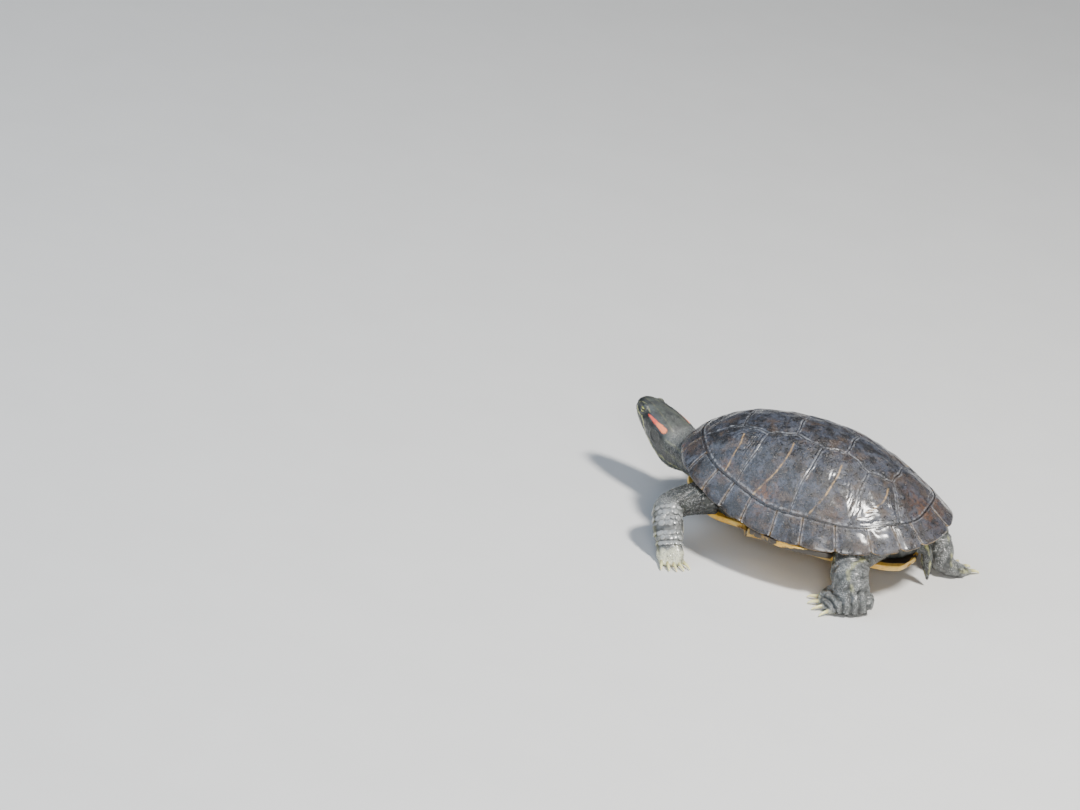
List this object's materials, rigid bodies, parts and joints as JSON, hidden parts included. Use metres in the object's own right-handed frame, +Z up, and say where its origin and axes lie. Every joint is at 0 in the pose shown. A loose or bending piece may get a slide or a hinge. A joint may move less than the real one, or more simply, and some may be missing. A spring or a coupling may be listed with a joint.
{
  "type": "red-eared slider turtle",
  "caption": "Standing freshwater turtle with a low domed dark shell, raised head turned to one side with a red ear stripe, clawed webbed feet and a short tail.",
  "frame": {"origin": "middle of the whole box on the floor, under the standing animal", "axes": "+Z up, the animal faces -Y and its own left side is +X"},
  "size_m": [0.2118, 0.2692, 0.0947],
  "materials": {
    "shell": "wet, glossy near-black horn with fine growth rings",
    "under_shell": "satin yellow horn with dark blotches",
    "skin": "damp dark olive-grey scaly skin with thin yellow stripes",
    "eye": "wet glossy eye with a yellow-green iris and dark pupil",
    "claw": "satin pale horn, darker at the root"
  },
  "bodies": {
    "root": {"carapace": "shell", "plastron": "under_shell", "trunk": "skin", "neck": "skin", "head": "skin", "jaw": "skin", "tail": "skin", "eye_left": "eye", "eye_right": "eye", "foreleg_upper_left": "skin", "foreleg_lower_left": "skin", "forefoot_left": "skin", "hindleg_upper_left": "skin", "hindleg_lower_left": "skin", "hindfoot_left": "skin", "foreclaw_left_1": "claw", "foreclaw_left_2": "claw", "foreclaw_left_3": "claw", "foreclaw_left_4": "claw", "foreclaw_left_5": "claw", "hindclaw_left_1": "claw", "hindclaw_left_2": "claw", "hindclaw_left_3": "claw", "hindclaw_left_4": "claw", "foreleg_upper_right": "skin", "foreleg_lower_right": "skin", "forefoot_right": "skin", "hindleg_upper_right": "skin", "hindleg_lower_right": "skin", "hindfoot_right": "skin", "foreclaw_right_1": "claw", "foreclaw_right_2": "claw", "foreclaw_right_3": "claw", "foreclaw_right_4": "claw", "foreclaw_right_5": "claw", "hindclaw_right_1": "claw", "hindclaw_right_2": "claw", "hindclaw_right_3": "claw", "hindclaw_right_4": "claw"}
  },
  "joints": []
}
